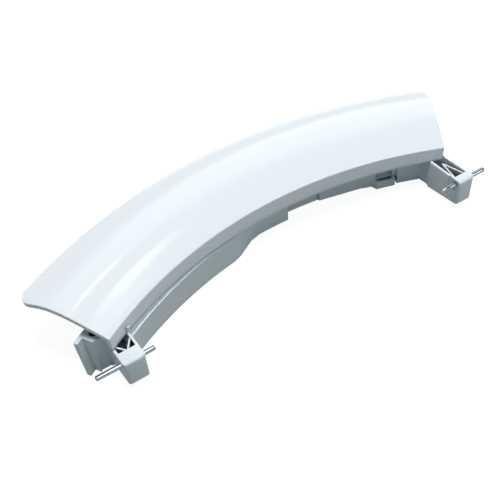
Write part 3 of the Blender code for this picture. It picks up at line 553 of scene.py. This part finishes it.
# bends an unrolled piece onto the arch, flares and leans its ends and rounds its outer corners
def buildArchBend():
    tree, given = newTree("archBend", {
        **archInputs, "Width": 0.05, "Left End": -31.0, "Right End": 26.0, "Left Flare": 0.3,
        "Right Flare": 0.7, "Right Lean": 0.3, "Corner": 0.008, "Foot Rise": 0.001,
        "Foot Height": 0.001, "Top Height": 0.009})
    place = tree.nodes.new("GeometryNodeInputPosition").outputs[0]
    along, reach, height = separated(tree, place)
    length = calc(tree, "SUBTRACT", given["Right End"], given["Left End"])
    middle = calc(tree, "MULTIPLY_ADD", length, along, given["Left End"])
    aside = calc(tree, "ABSOLUTE", calc(tree, "DIVIDE", middle, given["Left End"]))
    bow = calc(tree, "MULTIPLY", calc(tree, "POWER", aside, 2.0), given["Foot Rise"])
    z = calc(tree, "ADD", height, calc(tree, "MULTIPLY", bow, namedValue(tree, "atFoot")))

    share = calc(tree, "DIVIDE", reach, given["Width"])
    left = calc(tree, "MULTIPLY_ADD", given["Left Flare"], share, given["Left End"])
    right = calc(tree, "MULTIPLY_ADD", given["Right Flare"], share, given["Right End"])
    tall = calc(tree, "SUBTRACT", given["Top Height"], given["Foot Height"])
    below = calc(tree, "DIVIDE", calc(tree, "SUBTRACT", given["Top Height"], z), tall)
    lean = calc(tree, "MULTIPLY", calc(tree, "MAXIMUM", below, 0.0), given["Right Lean"])
    right = calc(tree, "SUBTRACT", right, lean)
    radius = calc(tree, "ADD", given["Arch Radius"], reach)
    straight = calc(tree, "SUBTRACT", given["Width"], given["Corner"])
    into = calc(tree, "MAXIMUM", calc(tree, "SUBTRACT", reach, straight), 0.0)
    square = calc(tree, "SUBTRACT", calc(tree, "POWER", given["Corner"], 2.0),
                  calc(tree, "POWER", into, 2.0))
    chord = calc(tree, "SQRT", calc(tree, "MAXIMUM", square, 0.0))
    back = calc(tree, "SUBTRACT", given["Corner"], chord)
    trim = calc(tree, "DEGREES", calc(tree, "DIVIDE", back, radius))
    left = calc(tree, "ADD", left, trim)
    right = calc(tree, "SUBTRACT", right, trim)
    angle = calc(tree, "MULTIPLY_ADD", calc(tree, "SUBTRACT", right, left), along, left)
    x, y = placeOnArch(tree, given, radius, calc(tree, "RADIANS", angle))
    finishTree(tree, given, movedTo(tree, given["Geometry"], x, y, z))
    return tree


# stands a copy of one piece on every point, at its angle and distance along the arch
def buildArchRow():
    tree, given = newTree(
        "archRow", {**archInputs, "Level": 0.0}, (("Piece", "NodeSocketObject"),))
    turn = calc(tree, "RADIANS", namedValue(tree, "alongArch"))
    radius = calc(tree, "ADD", given["Arch Radius"], namedValue(tree, "behindSkirt"))
    x, y = placeOnArch(tree, given, radius, turn)
    points = movedTo(tree, given["Geometry"], x, y, given["Level"])
    piece = tree.nodes.new("GeometryNodeObjectInfo")
    piece.inputs["As Instance"].default_value = True
    tree.links.new(given["Piece"], piece.inputs["Object"])
    stand = tree.nodes.new("GeometryNodeInstanceOnPoints")
    tree.links.new(points, stand.inputs["Points"])
    tree.links.new(piece.outputs["Geometry"], stand.inputs["Instance"])
    spin = tree.nodes.new("FunctionNodeEulerToRotation")
    tree.links.new(combined(tree, 0.0, 0.0, calc(tree, "MULTIPLY", turn, -1.0)), spin.inputs[0])
    tree.links.new(spin.outputs[0], stand.inputs["Rotation"])
    tree.links.new(combined(tree, 1.0, 1.0, namedValue(tree, "tall")), stand.inputs["Scale"])
    finishTree(tree, given, stand.outputs["Instances"])
    return tree


archBend = buildArchBend()
archRow = buildArchRow()


def rowOnArch(name, piece, spots, level, material):
    mesh = bpy.data.meshes.new(name)
    mesh.from_pydata([(i, 0, 0) for i in range(len(spots))], [], [])
    for label, column in (("alongArch", 0), ("behindSkirt", 1), ("tall", 2)):
        layer = mesh.attributes.new(label, "FLOAT", "POINT")
        for i, spot in enumerate(spots):
            layer.data[i].value = spot[column]
    row = linkObject(name, mesh)
    modifier = row.modifiers.new("row", "NODES")
    modifier.node_group = archRow
    setInputs(modifier, {"Piece": piece, "Level": level, "Material": material})
    bakeModifiers(row)
    bpy.data.objects.remove(piece, do_unlink=True)
    return row


# where a screw stands: angle on the arch, distance behind the skirt's foot
def screwSpot(name):
    low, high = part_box(name)
    spot = (low + high) / 2 - hingeMiddle
    fromCentre = Vector((spot.x - arch["aside"], spot.y + arch["behind"]))
    angle = degrees(asin(fromCentre.x / fromCentre.length))
    return angle, fromCentre.length - arch["radius"]


screwSpots = [screwSpot(name) for name in (
    "cover_screw_1", "cover_screw_2", "cover_screw_3", "cover_screw_4")]


# Cover

cover = dict(
    width=50.76 * mm, wall=2.5 * mm, skirtWall=2.3 * mm, skirtLean=0.8 * mm,
    foot=1.1 * mm, footRise=1.4 * mm,
    innerHeight=9.4 * mm, innerEdge=0.8 * mm, innerSlope=0.25,
    crest=15.59 * mm, crestPlace=31.0 * mm,
    outerHeight=11.4 * mm, outerSlope=-0.15,
    leftEnd=-100.44 * mm, rightEnd=97.5 * mm,          # along X, at the skirt's foot and top
    leftFlare=1.36 * mm, rightFlare=3.2 * mm, rightLean=1.2 * mm,
    corner=8.5 * mm, lipTurn=86,                       # degrees, just short of a quarter turn
    edge=0.3 * mm, edgeSegments=2, sharpAngle=50,
    steps=150, endColumn=0.0027,                       # the end columns' share of the length
    skirtSteps=4, innerSteps=6, topSteps=48, lipSteps=8,
    bossRadius=3.2 * mm, bossBore=1.7 * mm, bossFoot=6.3 * mm, bossSides=40,
)


def hermite(t, start, end, startSlope, endSlope):
    return (start * (2 * t ** 3 - 3 * t ** 2 + 1) + end * (3 * t ** 2 - 2 * t ** 3)
            + startSlope * (t ** 3 - 2 * t ** 2 + t) + endSlope * (t ** 3 - t ** 2))


def coverTop(reach):
    start, peak = cover["skirtLean"], cover["crestPlace"]
    if reach < peak:
        run = peak - start
        return hermite((reach - start) / run, cover["innerHeight"], cover["crest"],
                       cover["innerSlope"] * run, 0)
    run = cover["width"] - peak
    return hermite((reach - peak) / run, cover["crest"], cover["outerHeight"],
                   0, cover["outerSlope"] * run)


# matching outer and inner rows of (reach, height, how much it follows the foot)
def coverSection():
    lip = cover["wall"] / 2
    lean, skirt, edge = cover["skirtLean"], cover["skirtWall"], cover["innerEdge"]
    underStart = coverTop(lean + skirt) - cover["wall"]
    tall = cover["innerHeight"] - edge - cover["foot"]
    short = underStart - edge - cover["foot"]
    outer, inner = [], []
    for i in range(cover["skirtSteps"]):
        share = i / cover["skirtSteps"]
        outer.append((lean * share, cover["foot"] + tall * share, 1 - share))
        inner.append((skirt + lean * share, cover["foot"] + short * share, 1 - share))
    for i in range(cover["innerSteps"] + 1):
        turn = pi / 2 * i / cover["innerSteps"]
        over, down = edge * (1 - cos(turn)), edge * (1 - sin(turn))
        outer.append((lean + over, cover["innerHeight"] - down, 0.0))
        inner.append((lean + skirt + over, underStart - down, 0.0))
    end = cover["width"] - lip
    for i in range(1, cover["topSteps"] + 1):
        share = i / cover["topSteps"]
        reach = lean + edge + (end - lean - edge) * share
        below = lean + skirt + edge + (end - lean - skirt - edge) * share
        outer.append((reach, coverTop(reach), 0.0))
        inner.append((below, coverTop(below) - cover["wall"], 0.0))
    middle = coverTop(end) - lip
    for i in range(1, cover["lipSteps"] + 1):
        turn = radians(cover["lipTurn"]) * i / cover["lipSteps"]
        outer.append((end + lip * sin(turn), middle + lip * cos(turn), 0.0))
        inner.append((end + lip * sin(turn), middle - lip * cos(turn), 0.0))
    return outer, inner


# the cover unrolled: x runs from 0 to 1 along the arch, y is the reach and z the height
def flatCover():
    outer, inner = coverSection()
    ring = outer + inner[::-1]
    bm = bmesh.new()
    footLayer = bm.verts.layers.float.new("atFoot")
    rings = []
    steps, column = cover["steps"], cover["endColumn"]
    # a narrow column at both ends keeps the shading flat up to the rounded end
    for along in [0, column] + [j / steps for j in range(1, steps)] + [1 - column, 1]:
        row = []
        for reach, height, follow in ring:
            vert = bm.verts.new((along, reach, height))
            vert[footLayer] = follow
            row.append(vert)
        rings.append(row)
    size = len(ring)
    for a, b in zip(rings, rings[1:]):
        for k in range(size):
            n = (k + 1) % size
            bm.faces.new((a[k], b[k], b[n], a[n]))
    for row in (rings[0], rings[-1]):
        for k in range(size // 2 - 1):
            bm.faces.new((row[k], row[k + 1], row[size - 2 - k], row[size - 1 - k]))
    return meshFrom(bm, "front_cover_moulding")


# a tube of height 1, which its place in the row stretches up to the shell
def bossTube():
    outer, bore, sides = cover["bossRadius"], cover["bossBore"], cover["bossSides"]
    turns = [2 * pi * i / sides for i in range(sides)]
    bm = bmesh.new()
    rings = [[bm.verts.new((radius * cos(turn), radius * sin(turn), height)) for turn in turns]
             for radius, height in ((bore, 0.0), (outer, 0.0), (outer, 1.0), (bore, 1.0))]
    for a, b in zip(rings, rings[1:] + rings[:1]):
        joinRings(bm, a, b)
    bmesh.ops.recalc_face_normals(bm, faces=bm.faces)
    return linkObject("boss", meshFrom(bm, "boss"))


def makeCover():
    shell = linkObject("front_cover_shell", flatCover())
    bend = shell.modifiers.new("arch", "NODES")
    bend.node_group = archBend
    rim = arch["radius"] + cover["width"]
    setInputs(bend, {
        "Width": cover["width"], "Corner": cover["corner"], "Foot Rise": cover["footRise"],
        "Foot Height": cover["foot"], "Top Height": cover["innerHeight"],
        "Left End": archAngle(cover["leftEnd"]), "Right End": archAngle(cover["rightEnd"]),
        "Left Flare": degrees(cover["leftFlare"] / rim),
        "Right Flare": degrees(cover["rightFlare"] / rim),
        "Right Lean": archSpan(cover["rightLean"]), "Material": glossWhite})
    bakeModifiers(shell)
    faceOutwards(shell.data)
    softenEdges(shell, cover["edge"], cover["edgeSegments"], cover["sharpAngle"])
    spots = []
    for angle, reach in screwSpots:
        top = coverTop(reach) - cover["wall"] / 2      # inside the shell's wall
        spots.append((angle, reach, top - cover["bossFoot"]))
    bosses = rowOnArch("screw_bosses", bossTube(), spots, cover["bossFoot"], glossWhite)
    bm = bmesh.new()
    bm.from_mesh(shell.data)
    bm.from_mesh(bosses.data)
    bm.to_mesh(shell.data)
    bm.free()
    bpy.data.objects.remove(bosses, do_unlink=True)
    smoothShade(shell, cover["sharpAngle"])
    toHingeLine(shell)
    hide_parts("front_cover")
    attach(shell, "handle")


makeCover()
print("cover ready")


# Carrier: the model's own moulding, merged so that its curves shade smoothly

carrier = dict(merge=0.001 * mm, sharpAngle=24)


def makeCarrier():
    bm = bmesh.new()
    bm.from_mesh(frame["nodes"]["carrier"].data)
    bmesh.ops.remove_doubles(bm, verts=bm.verts, dist=carrier["merge"])
    body = linkObject("carrier_moulding", meshFrom(bm, "carrier_moulding"))
    body.data.materials.clear()
    body.data.materials.append(mattWhite)
    for face in body.data.polygons:
        face.material_index = 0
    smoothShade(body, carrier["sharpAngle"])
    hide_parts("carrier")
    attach(body, "handle")


makeCarrier()
print("carrier ready")


# Hinge pins: drawn wire, cut and chamfered

pin = dict(
    radius=1.2 * mm, length=28.5 * mm, chamfer=0.3 * mm, fillet=0.06 * mm, sides=64,
    capShare=0.25, bodyShares=(0.6, 0.2, -0.2, -0.6), sharpAngle=30,
    leftMiddle=-98.75 * mm, rightMiddle=95.25 * mm,
)


def pinRows():
    radius, half, chamfer, fillet = pin["radius"], pin["length"] / 2, pin["chamfer"], pin["fillet"]
    end = [(pin["capShare"] * (radius - chamfer), half), (radius - chamfer - fillet, half),
           (radius - chamfer, half - fillet / 3),
           (radius - fillet / 2, half - chamfer + fillet / 2), (radius, half - chamfer - fillet)]
    body = [(radius, half * share) for share in pin["bodyShares"]]
    return [(r, -h) for r, h in end] + body[::-1] + end[::-1]


def makePin(node, middle, bodyName):
    rod = linkObject(node + "_rod", turnedMesh(node + "_rod", pinRows(), pin["sides"]))
    rod.data.transform(Matrix.Translation((middle, 0, 0)) @ Matrix.Rotation(pi / 2, 4, "Y"))
    rod.data.materials.append(pinSteel)
    smoothShade(rod, pin["sharpAngle"])
    toHingeLine(rod)
    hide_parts(node)
    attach(rod, bodyName)


makePin("left_hinge_pin", pin["leftMiddle"], "left_pin")
makePin("right_hinge_pin", pin["rightMiddle"], "right_pin")
print("pins ready")


# Screws: pan head with a cross, bearing face at height zero, pointing up

screw = dict(
    headRadius=2.5 * mm, headHeight=1.7 * mm,
    headOutline=((0.20, 1.0), (0.55, 1.0), (0.74, 0.94), (0.88, 0.78), (0.97, 0.52),
                 (1.0, 0.25), (1.0, 0.04), (0.98, 0.0)),       # shares of radius and height
    shank=1.4 * mm, root=1.1 * mm, length=4.9 * mm, tip=1.2 * mm, tipShare=0.2, endShare=0.15,
    pitch=0.9 * mm, flank=3, rowsPerTurn=8, sides=36, sharpAngle=30,
    crossSpan=2.8 * mm, crossSlot=0.8 * mm, crossDepth=0.9 * mm, crossOver=0.5 * mm,
    bearing=3.5 * mm,            # height of the heads' bearing face above the hinge line
)


def screwRows():
    rows = [(screw["headRadius"] * wide, -screw["headHeight"] * down)
            for wide, down in screw["headOutline"]]
    step = screw["pitch"] / screw["rowsPerTurn"]
    count = int(screw["length"] / step)
    thin = screw["tipShare"]
    for i in range(count):
        height = screw["length"] * (i + 0.5) / count
        taper = min(1.0, (screw["length"] - height) / screw["tip"] * (1 - thin) + thin)

        def threaded(turn, height=height, taper=taper):
            phase = (height / screw["pitch"] - turn / (2 * pi)) % 1.0
            crest = max(0.0, 1 - screw["flank"] * abs(phase - 0.5))
            return (screw["root"] + (screw["shank"] - screw["root"]) * crest) * taper

        rows.append((threaded, height))
    rows.append((screw["root"] * screw["endShare"], screw["length"]))
    return rows


def cutCross(thing):
    span, slot = screw["crossSpan"], screw["crossSlot"]
    bottom = -screw["headHeight"] - screw["crossOver"]
    top = -screw["headHeight"] + screw["crossDepth"]
    for wide, deep in ((span, slot), (slot, span)):
        bm = bmesh.new()
        bmesh.ops.create_cube(bm, size=1.0)
        for vert in bm.verts:
            x, y, z = vert.co
            vert.co = (x * wide, y * deep, bottom + (z + 0.5) * (top - bottom))
        tool = linkObject("cross", meshFrom(bm, "cross"))
        cut = thing.modifiers.new("cross", "BOOLEAN")
        cut.operation = "DIFFERENCE"
        cut.solver = "EXACT"
        cut.object = tool
        bakeModifiers(thing)
        bpy.data.objects.remove(tool, do_unlink=True)


def makeScrews():
    one = linkObject("screw", turnedMesh("screw", screwRows(), screw["sides"]))
    cutCross(one)
    spots = [(angle, reach, 1.0) for angle, reach in screwSpots]
    row = rowOnArch("cover_screws", one, spots, screw["bearing"], screwZinc)
    smoothShade(row, screw["sharpAngle"])
    toHingeLine(row)
    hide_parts("cover_screw_1", "cover_screw_2", "cover_screw_3", "cover_screw_4")
    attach(row, "handle")


makeScrews()
print("screws ready")


# Floor and light

white = (1.0, 1.0, 1.0)

studio = dict(
    floorSize=12.0, floorColour=(0.20, 0.21, 0.21), floorRoughness=0.9,
    floorGlow=0.92, floorInGloss=0.45,
    skyColour=(0.78, 0.97, 1.0), skyPower=0.15,
    horizonColour=(0.79, 0.98, 1.0), horizonPower=0.34, horizonTop=0.42, horizonFade=0.2,
    bandPower=1.08, bandAzimuth=40, bandHeight=33, bandInner=18, bandOuter=28,
    leftEnd=Vector((-0.09, 0.02, 0.02)),               # what the two streak lamps are aimed at
)

# place, target, width, height, power and colour; a streak lamp has no target of its own, and its
# place is the azimuth, elevation and distance at which the left end sees it
lamps = dict(
    top=((0.12, 0.02, 1.20), (0.0, 0.0, 0.0), 0.54, 0.54, 11.7, (1.0, 0.985, 0.98)),
    glint=((0.10, -0.45, 1.15), (0.0, 0.0, 0.0), 1.10, 1.10, 9.0, white),
    nearRight=((0.50, -0.40, 0.28), (0.02, 0.0, 0.0), 0.26, 0.22, 0.45, (0.86, 0.97, 1.0)),
    firstStreak=((36, 59, 1.7), None, 0.098, 0.080, 0.085, white),
    secondStreak=((57, 62, 1.5), None, 0.074, 0.054, 0.045, white),
)


# azimuth from +Y towards +X, and elevation
def skyDirection(azimuth, elevation):
    a, e = radians(azimuth), radians(elevation)
    return Vector((sin(a) * cos(e), cos(a) * cos(e), sin(e)))


def background(tree, colour, strength):
    node = tree.nodes.new("ShaderNodeBackground")
    node.inputs["Color"].default_value = (*colour, 1)
    plug(tree, strength, node.inputs["Strength"])
    return node.outputs[0]


def added(tree, first, second):
    node = tree.nodes.new("ShaderNodeAddShader")
    tree.links.new(first, node.inputs[0])
    tree.links.new(second, node.inputs[1])
    return node.outputs[0]


def mixed(tree, share, first, second):
    node = tree.nodes.new("ShaderNodeMixShader")
    for source, socket in zip((share, first, second), node.inputs):
        tree.links.new(source, socket)
    return node.outputs[0]


# the floor glows for the camera and, less, in reflections, but that glow doesn't light the part
def makeFloor():
    bm = bmesh.new()
    bmesh.ops.create_grid(bm, x_segments=1, y_segments=1, size=studio["floorSize"])
    floor = linkObject("floor", meshFrom(bm, "floor"))
    floor.location.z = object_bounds()[0].z
    material, tree, shader = newMaterial("studioFloor")
    shader.inputs["Base Color"].default_value = (*studio["floorColour"], 1)
    shader.inputs["Roughness"].default_value = studio["floorRoughness"]
    shader.inputs["Specular IOR Level"].default_value = 0.0
    glow = tree.nodes.new("ShaderNodeEmission")
    glow.inputs["Color"].default_value = (*white, 1)
    glow.inputs["Strength"].default_value = studio["floorGlow"]
    path = tree.nodes.new("ShaderNodeLightPath")
    inGloss = calc(tree, "MULTIPLY", path.outputs["Is Glossy Ray"], studio["floorInGloss"])
    seen = calc(tree, "MAXIMUM", path.outputs["Is Camera Ray"], inGloss)
    glowing = added(tree, shader.outputs[0], glow.outputs[0])
    tree.links.new(mixed(tree, seen, shader.outputs[0], glowing),
                   tree.nodes["Material Output"].inputs["Surface"])
    floor.data.materials.append(material)


# a cool dome, brighter towards the horizon, with one broad soft light behind on the right;
# straight from the camera it is plain white
def makeWorld():
    world = bpy.data.worlds.new("studio")
    bpy.context.scene.world = world
    world.use_nodes = True
    tree = world.node_tree
    direction = tree.nodes.new("ShaderNodeTexCoord").outputs["Generated"]
    top, fade = studio["horizonTop"], studio["horizonFade"]
    low = mapped(tree, separated(tree, direction)[2], top + fade, top - fade)
    bandMiddle = skyDirection(studio["bandAzimuth"], studio["bandHeight"])
    band = mapped(tree, dotted(tree, direction, bandMiddle),
                  cos(radians(studio["bandOuter"])), cos(radians(studio["bandInner"])))
    total = background(tree, studio["skyColour"], studio["skyPower"])
    for colour, share, power in ((studio["horizonColour"], low, studio["horizonPower"]),
                                 (white, band, studio["bandPower"])):
        part = background(tree, colour, calc(tree, "MULTIPLY", share, power))
        total = added(tree, total, part)
    fromCamera = tree.nodes.new("ShaderNodeLightPath").outputs["Is Camera Ray"]
    tree.links.new(mixed(tree, fromCamera, total, background(tree, white, 1.0)),
                   tree.nodes["World Output"].inputs["Surface"])


def makeLamps():
    for name, (place, target, width, height, power, colour) in lamps.items():
        if target is None:
            azimuth, elevation, distance = place
            target = studio["leftEnd"]
            place = target + skyDirection(azimuth, elevation) * distance
        lamp = bpy.data.lights.new(name, "AREA")
        lamp.shape = "ELLIPSE"
        lamp.size, lamp.size_y = width, height
        lamp.energy = power
        lamp.color = colour
        holder = bpy.data.objects.new(name, lamp)
        holder.location = place
        aim = Vector(target) - Vector(place)
        holder.rotation_euler = aim.to_track_quat("-Z", "Y").to_euler()
        # the top lamp only lights; the wide, dim one on the near side only shows in gloss and metal
        holder.visible_glossy = name != "top"
        holder.visible_diffuse = name != "glint"
        bpy.context.scene.collection.objects.link(holder)


makeFloor()
makeWorld()
makeLamps()
bpy.context.scene.view_settings.view_transform = "Standard"
print("studio ready")
